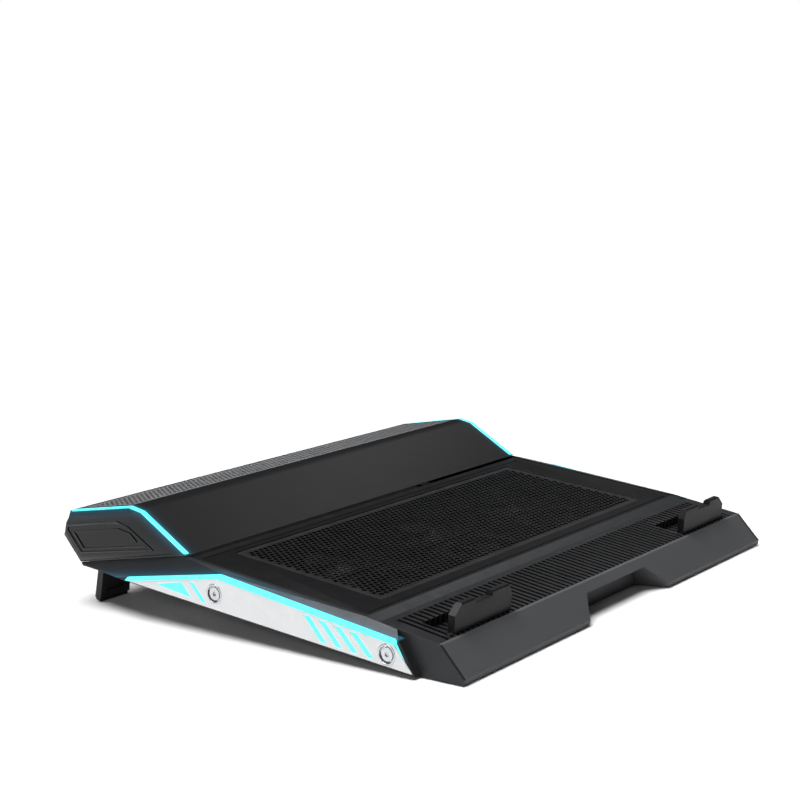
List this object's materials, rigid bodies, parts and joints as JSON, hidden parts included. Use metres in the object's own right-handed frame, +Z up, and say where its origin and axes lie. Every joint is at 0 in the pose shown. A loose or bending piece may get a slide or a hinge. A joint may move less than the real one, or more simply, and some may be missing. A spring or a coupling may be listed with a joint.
{
  "type": "laptop cooling pad",
  "caption": "Wedge-shaped laptop cooling pad with a mesh deck over fans, a raised rear head, lit side modules, flip-up front stops and fold-out rear feet.",
  "frame": {"origin": "centre of the bounding box on the table plane, with the rear feet folded out", "axes": "+X to the right, +Y from the front lip to the rear head, +Z up from the table"},
  "size_m": [0.4506, 0.39, 0.0854],
  "materials": {
    "shell": "fine moulded texture, satin",
    "base": "moulded texture, matte",
    "deck": "semi-gloss black",
    "deck_mesh": "perforated steel, black powder coat",
    "head_mesh": "expanded steel mesh, dark grey",
    "bezel": "satin dark grey paint",
    "grille": "satin black",
    "head_shell": "satin black",
    "head_cap": "gloss black",
    "side_rail": "satin dark grey",
    "side_plate": "satin white",
    "side_bolt": "brushed, bright",
    "light_guide": "translucent, lit cyan",
    "led_board": "white solder mask",
    "stop": "satin dark grey",
    "foot": "satin black",
    "steel": "plain",
    "rubber": "matte",
    "fan_rotor": "semi-gloss black",
    "fan_stator": "enamelled copper windings on a moulded base",
    "bearing": "sintered bronze",
    "wire": "black insulation",
    "circuit_board": "green solder mask",
    "socket_metal": "nickel plated",
    "wheel": "knurled, matte",
    "pot": "blue moulded case",
    "button": "translucent white",
    "switch": "grey moulded case"
  },
  "bodies": {
    "pad": {"base_tray": "base", "top_shell": "shell", "deck_panel": "deck", "deck_mesh": "deck_mesh", "front_bezel": "bezel", "front_grille": "grille", "head_shell": "head_shell", "head_mesh": "head_mesh", "head_cap_left": "head_cap", "head_cap_right": "head_cap", "head_light_left": "light_guide", "head_light_right": "light_guide", "head_led_board_left": "led_board", "head_led_board_right": "led_board", "side_rail_left": "side_rail", "side_rail_right": "side_rail", "side_light_left": "light_guide", "side_light_right": "light_guide", "side_plate_left": "side_plate", "side_plate_right": "side_plate", "side_led_board_left": "led_board", "side_led_board_right": "led_board", "side_bolts": "side_bolt", "side_bolt_cups": "side_bolt", "stop_pins": "steel", "foot_pins": "steel", "front_pads": "rubber", "rear_pads": "rubber", "case_screws": "steel", "fan_1_frame": "fan_rotor", "fan_2_frame": "fan_rotor", "fan_3_frame": "fan_rotor", "fan_4_frame": "fan_rotor", "fan_5_frame": "fan_rotor", "fan_6_frame": "fan_rotor", "fan_1_stator": "fan_stator", "fan_2_stator": "fan_stator", "fan_3_stator": "fan_stator", "fan_4_stator": "fan_stator", "fan_5_stator": "fan_stator", "fan_6_stator": "fan_stator", "fan_bearings": "bearing", "wire_harness": "wire", "control_board": "circuit_board", "io_panel": "base", "usb_power_socket": "socket_metal", "usb_hub_socket": "socket_metal", "speed_pot": "pot", "light_switch": "switch"},
    "foot_left": {"foot_left": "foot", "foot_pad_left": "rubber"},
    "foot_right": {"foot_right": "foot", "foot_pad_right": "rubber"},
    "stop_left": {"stop_left": "stop"},
    "stop_right": {"stop_right": "stop"},
    "speed_wheel": {"speed_wheel": "wheel"},
    "light_button": {"light_button": "button"},
    "fan_1": {"fan_1_rotor": "fan_rotor"},
    "fan_2": {"fan_2_rotor": "fan_rotor"},
    "fan_3": {"fan_3_rotor": "fan_rotor"},
    "fan_4": {"fan_4_rotor": "fan_rotor"},
    "fan_5": {"fan_5_rotor": "fan_rotor"},
    "fan_6": {"fan_6_rotor": "fan_rotor"}
  },
  "joints": [
    {"name": "foot_left_fold", "type": "hinge", "parent": "pad", "child": "foot_left", "pos_m": [-0.193, 0.16257, 0.03421], "axis": [-1, 0, 0], "range_deg": [0, 98]},
    {"name": "foot_right_fold", "type": "hinge", "parent": "pad", "child": "foot_right", "pos_m": [0.193, 0.16257, 0.03421], "axis": [-1, 0, 0], "range_deg": [0, 98]},
    {"name": "stop_left_fold", "type": "hinge", "parent": "pad", "child": "stop_left", "pos_m": [-0.16, -0.16829, 0.02539], "axis": [-1, 0, 0], "range_deg": [0, 90]},
    {"name": "stop_right_fold", "type": "hinge", "parent": "pad", "child": "stop_right", "pos_m": [0.16, -0.16829, 0.02539], "axis": [-1, 0, 0], "range_deg": [0, 90]},
    {"name": "fan_1_spin", "type": "hinge", "parent": "pad", "child": "fan_1", "pos_m": [-0.118, -0.06569, 0.02127], "axis": [0, -0.0906, 0.9959], "continuous": true},
    {"name": "fan_2_spin", "type": "hinge", "parent": "pad", "child": "fan_2", "pos_m": [0, -0.06569, 0.02127], "axis": [0, -0.0906, 0.9959], "continuous": true},
    {"name": "fan_3_spin", "type": "hinge", "parent": "pad", "child": "fan_3", "pos_m": [0.118, -0.06569, 0.02127], "axis": [0, -0.0906, 0.9959], "continuous": true},
    {"name": "fan_4_spin", "type": "hinge", "parent": "pad", "child": "fan_4", "pos_m": [-0.118, 0.01199, 0.02834], "axis": [0, -0.0906, 0.9959], "continuous": true},
    {"name": "fan_5_spin", "type": "hinge", "parent": "pad", "child": "fan_5", "pos_m": [0, 0.01199, 0.02834], "axis": [0, -0.0906, 0.9959], "continuous": true},
    {"name": "fan_6_spin", "type": "hinge", "parent": "pad", "child": "fan_6", "pos_m": [0.118, 0.01199, 0.02834], "axis": [0, -0.0906, 0.9959], "continuous": true},
    {"name": "speed_wheel_turn", "type": "hinge", "parent": "pad", "child": "speed_wheel", "pos_m": [0.165, 0.17853, 0.06519], "axis": [0, -0.0906, 0.9959], "range_deg": [0, 270]},
    {"name": "light_button_press", "type": "slide", "parent": "pad", "child": "light_button", "axis": [0, -0.9959, -0.0906], "range_m": [0, 0.0012], "stiffness_N_per_m": 600, "springref_m": -0.0005}
  ]
}
